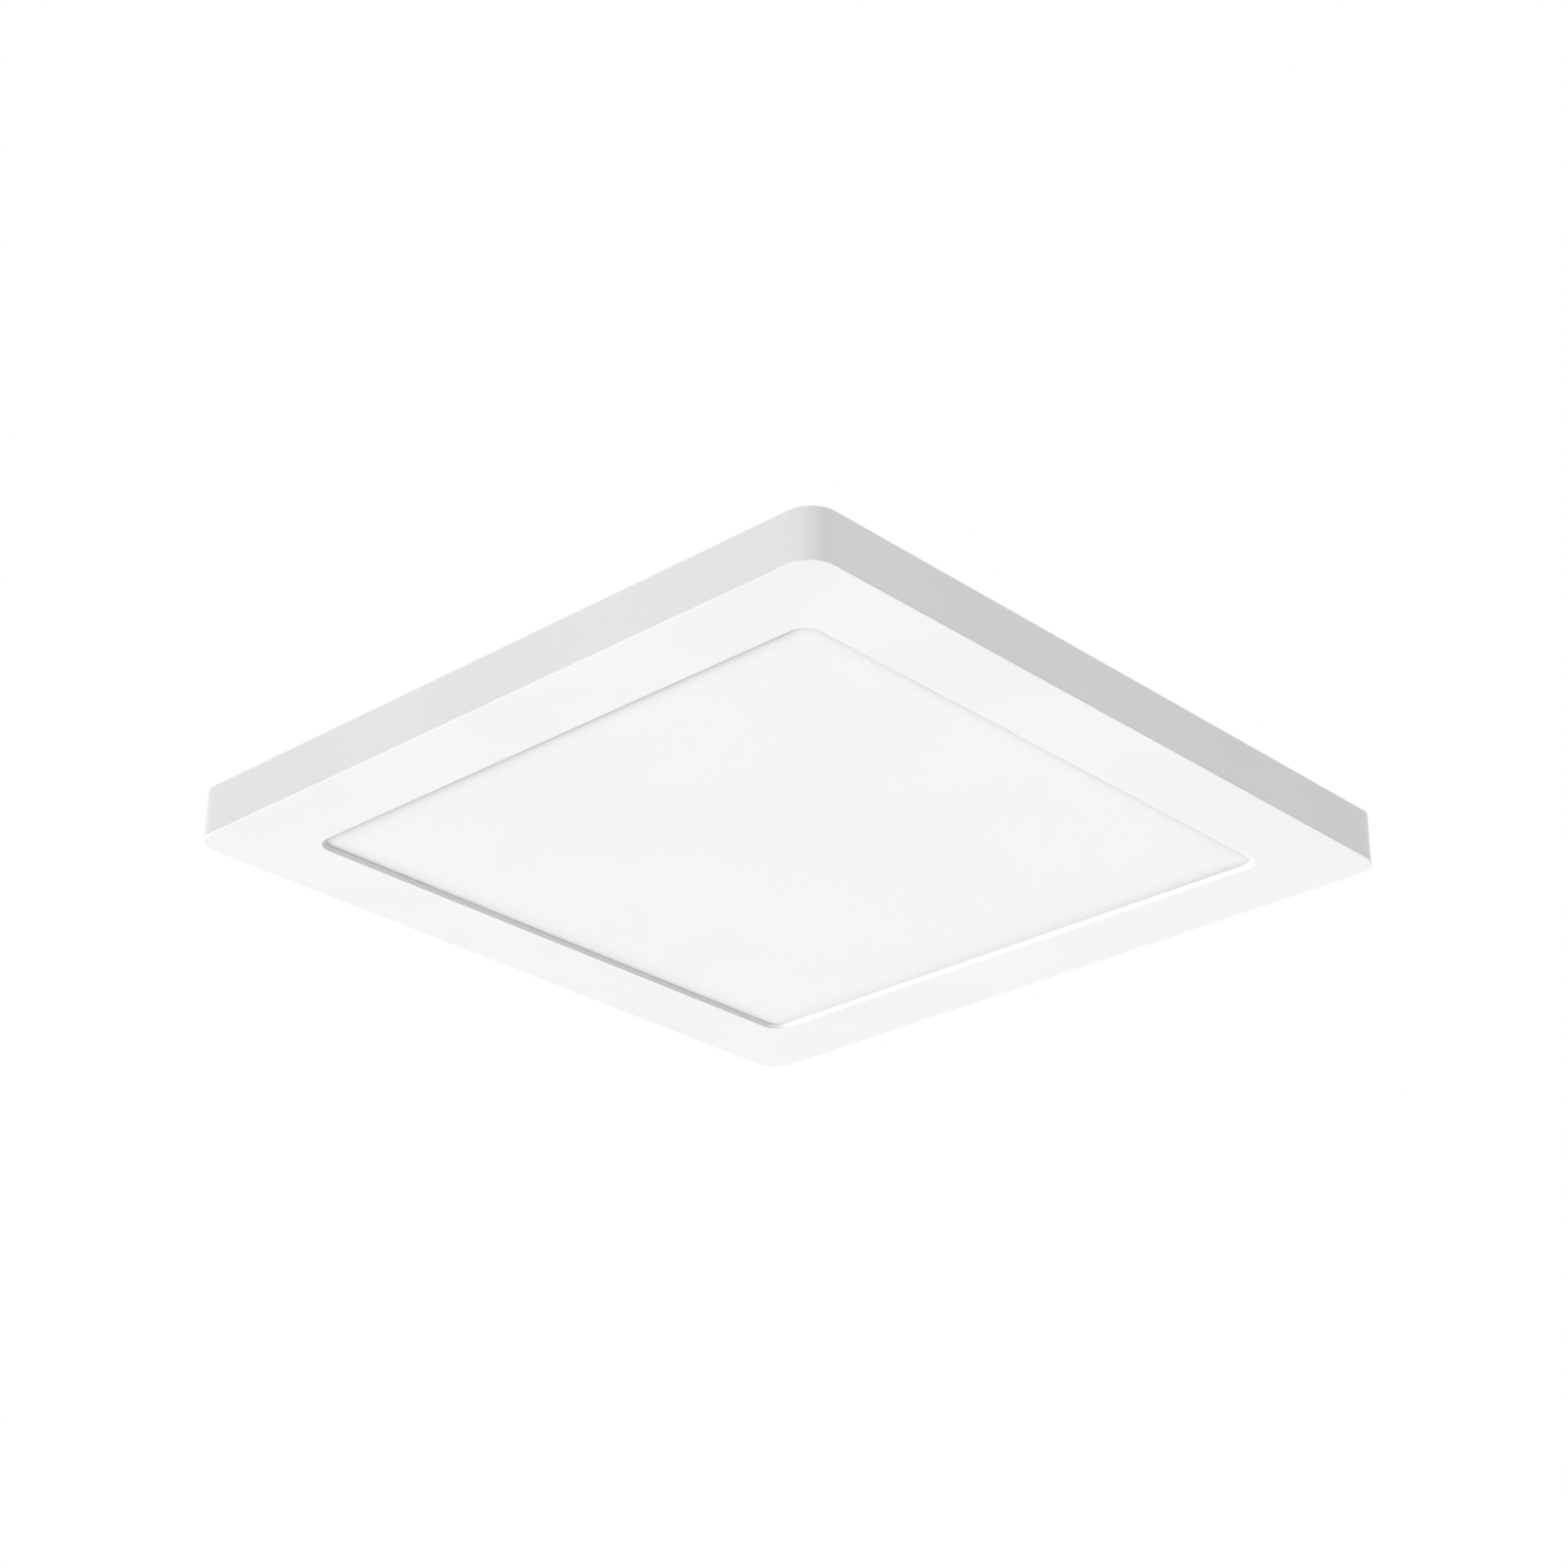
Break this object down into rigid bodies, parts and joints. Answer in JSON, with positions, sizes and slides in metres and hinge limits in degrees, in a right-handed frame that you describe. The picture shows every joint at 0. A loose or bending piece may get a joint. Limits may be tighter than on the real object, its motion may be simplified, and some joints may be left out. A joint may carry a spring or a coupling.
{
  "type": "flush mount ceiling light",
  "caption": "Slim square white ceiling light with a recessed opal panel, edge lit, with its driver in the ceiling box and a twist-lock bracket.",
  "frame": {"origin": "on the twist lock's axis at the ceiling plane, midway between the two box slots", "axes": "+Z into the ceiling, X along the row of box slots, -Y the front side, where the whiteness selector is"},
  "size_m": [0.3, 0.3, 0.0338],
  "materials": {
    "frame_white": "matte",
    "diffuser_opal": "satin",
    "guide_clear": "gloss",
    "reflector_white": "matte",
    "foam_grey": "matte",
    "strip_white": "satin",
    "led_yellow": "gloss",
    "tape_grey": "matte",
    "galvanised_steel": "satin",
    "zinc_steel": "gloss",
    "green_screw": "satin",
    "case_white": "matte",
    "sheet_black": "matte",
    "board_green": "satin",
    "nylon_natural": "matte",
    "ferrite_black": "matte",
    "copper_winding": "satin",
    "sleeve_black": "gloss",
    "film_yellow": "gloss",
    "package_black": "matte",
    "fuse_brown": "gloss",
    "varistor_blue": "gloss",
    "terminal_orange": "satin",
    "contact_brass": "gloss",
    "connector_white": "satin",
    "lead_red": "satin",
    "lead_black": "satin",
    "lead_white": "satin",
    "rubber_black": "matte",
    "knob_black": "satin"
  },
  "bodies": {
    "bracket": {"mounting_bracket": "zinc_steel", "ground_screw": "green_screw"},
    "fixture": {"back_plate": "galvanised_steel", "back_plate_screws": "zinc_steel", "bezel_frame": "frame_white", "board_standoffs": "nylon_natural", "bridge_rectifier": "package_black", "bulk_capacitor": "sleeve_black", "control_chip": "package_black", "diffuser_panel": "diffuser_opal", "driver_board": "board_green", "driver_case": "case_white", "driver_case_screws": "zinc_steel", "film_capacitor": "film_yellow", "foam_pad": "foam_grey", "fuse": "fuse_brown", "insulation_sheet": "sheet_black", "lead_grommet": "rubber_black", "led_chips_front": "led_yellow", "led_chips_left": "led_yellow", "led_chips_rear": "led_yellow", "led_chips_right": "led_yellow", "led_lead_negative": "lead_black", "led_lead_positive": "lead_red", "led_strip_front": "strip_white", "led_strip_left": "strip_white", "led_strip_rear": "strip_white", "led_strip_right": "strip_white", "light_guide_plate": "guide_clear", "line_choke": "ferrite_black", "output_capacitors": "sleeve_black", "output_connector": "connector_white", "power_transistor": "package_black", "reflector_sheet": "reflector_white", "selector_board": "board_green", "selector_connector": "connector_white", "selector_lead": "lead_white", "selector_screws": "zinc_steel", "selector_spacers": "contact_brass", "selector_switch": "zinc_steel", "strip_jumpers": "lead_white", "terminal_block": "terminal_orange", "terminal_contacts": "contact_brass", "thermal_tape": "tape_grey", "transformer_core": "ferrite_black", "transformer_winding": "copper_winding", "varistor": "varistor_blue"},
    "selector": {"selector_knob": "knob_black"}
  },
  "joints": [
    {"name": "twist_lock", "type": "hinge", "parent": "bracket", "child": "fixture", "pos_m": [0, 0, 0], "axis": [0, 0, 1], "range_deg": [-12, 0]},
    {"name": "selector_slide", "type": "slide", "parent": "fixture", "child": "selector", "axis": [1, 0, 0], "range_m": [-0.004, 0.004]}
  ]
}
